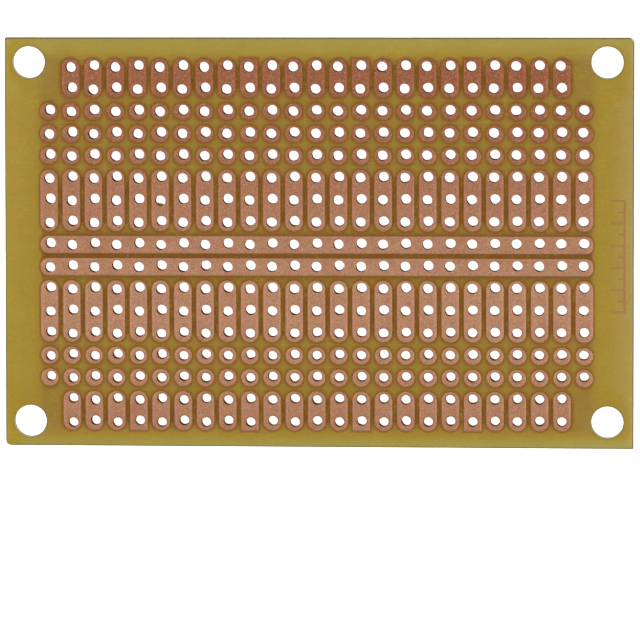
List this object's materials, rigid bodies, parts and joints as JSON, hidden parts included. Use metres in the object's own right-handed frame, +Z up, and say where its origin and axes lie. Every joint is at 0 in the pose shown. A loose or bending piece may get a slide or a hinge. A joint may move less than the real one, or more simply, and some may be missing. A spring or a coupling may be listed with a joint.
{
  "type": "prototype board",
  "caption": "Bare punched laminate board with a grid of lead holes, copper lands on one face that join them in short runs, two long bus strips and a screw hole in each corner.",
  "frame": {"origin": "middle of the underside", "axes": "+X along the board, +Y towards the side with three rows of ring lands, +Z up out of the copper side"},
  "size_m": [0.0718, 0.047, 0.0016],
  "materials": {
    "laminate": "satin amber laminate, slightly translucent",
    "copper": "dull bare copper foil, lightly tarnished"
  },
  "bodies": {
    "root": {"board_laminate": "laminate", "bus_strip_lower": "copper", "bus_strip_upper": "copper", "etched_tick_scale": "copper", "pair_lands_lower": "copper", "pair_lands_upper": "copper", "ring_lands_lower": "copper", "ring_lands_upper": "copper", "triple_land_lower_01": "copper", "triple_land_lower_02": "copper", "triple_land_lower_03": "copper", "triple_land_lower_04": "copper", "triple_land_lower_05": "copper", "triple_land_lower_06": "copper", "triple_land_lower_07": "copper", "triple_land_lower_08": "copper", "triple_land_lower_09": "copper", "triple_land_lower_10": "copper", "triple_land_lower_11": "copper", "triple_land_lower_12": "copper", "triple_land_lower_13": "copper", "triple_land_lower_14": "copper", "triple_land_lower_15": "copper", "triple_land_lower_16": "copper", "triple_land_lower_17": "copper", "triple_land_lower_18": "copper", "triple_land_lower_19": "copper", "triple_land_lower_20": "copper", "triple_land_lower_21": "copper", "triple_land_lower_22": "copper", "triple_land_lower_23": "copper", "triple_land_lower_24": "copper", "triple_land_lower_25": "copper", "triple_land_upper_01": "copper", "triple_land_upper_02": "copper", "triple_land_upper_03": "copper", "triple_land_upper_04": "copper", "triple_land_upper_05": "copper", "triple_land_upper_06": "copper", "triple_land_upper_07": "copper", "triple_land_upper_08": "copper", "triple_land_upper_09": "copper", "triple_land_upper_10": "copper", "triple_land_upper_11": "copper", "triple_land_upper_12": "copper", "triple_land_upper_13": "copper", "triple_land_upper_14": "copper", "triple_land_upper_15": "copper", "triple_land_upper_16": "copper", "triple_land_upper_17": "copper", "triple_land_upper_18": "copper", "triple_land_upper_19": "copper", "triple_land_upper_20": "copper", "triple_land_upper_21": "copper", "triple_land_upper_22": "copper", "triple_land_upper_23": "copper", "triple_land_upper_24": "copper", "triple_land_upper_25": "copper"}
  },
  "joints": []
}
